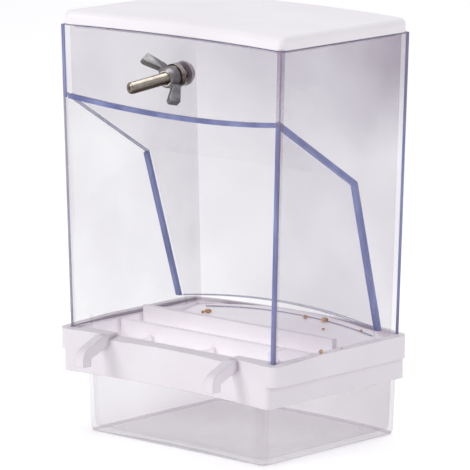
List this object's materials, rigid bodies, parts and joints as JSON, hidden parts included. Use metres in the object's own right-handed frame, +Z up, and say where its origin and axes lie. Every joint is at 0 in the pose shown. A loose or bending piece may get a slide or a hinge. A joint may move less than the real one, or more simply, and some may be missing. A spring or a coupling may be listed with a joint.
{
  "type": "bird_cage_feeder",
  "caption": "Clear bird cage feeder with a white lid, a slatted seed tray, a pull-out catch drawer, cage hooks and a wing-nut bolt",
  "frame": {"origin": "on the drawer's flat underside, at mid-width and at mid-depth of the hood's side walls", "axes": "+Z up; -Y towards the cage, where the hooks and the bolt are; +X along the hood's width, to the right when looking at the cage side along +Y"},
  "size_m": [0.12, 0.1115, 0.1736],
  "materials": {
    "clear_plastic": "clear, polished, with blue-tinted cut edges",
    "white_plastic": "satin gloss",
    "steel": "dull nickel plating",
    "zinc": "rough cast zinc"
  },
  "bodies": {
    "feeder": {"hood": "clear_plastic", "tray": "white_plastic", "bolt": "steel", "inner_washer": "steel", "wall_washer": "steel"},
    "lid": {"lid": "white_plastic"},
    "drawer": {"drawer": "clear_plastic"},
    "washer": {"nut_washer": "steel"},
    "nut": {"wing_nut": "zinc"}
  },
  "joints": [
    {"name": "lid_lift", "type": "slide", "parent": "feeder", "child": "lid", "axis": [0, 0, 1], "range_m": [0, 0.04]},
    {"name": "drawer_pull", "type": "slide", "parent": "feeder", "child": "drawer", "axis": [0, 1, 0], "range_m": [0, 0.09]},
    {"name": "nut_travel", "type": "slide", "parent": "feeder", "child": "washer", "axis": [0, -0.9962, -0.0872], "range_m": [0, 0.0256]},
    {"name": "nut_turn", "type": "hinge", "parent": "washer", "child": "nut", "pos_m": [0, -0.0318, 0.1525], "axis": [0, -0.9962, -0.0872], "range_deg": [0, 11520]}
  ],
  "couplings": [
    {"joint": "nut_travel", "follows": "nut_turn", "m_per_rad": 0.00012732}
  ]
}
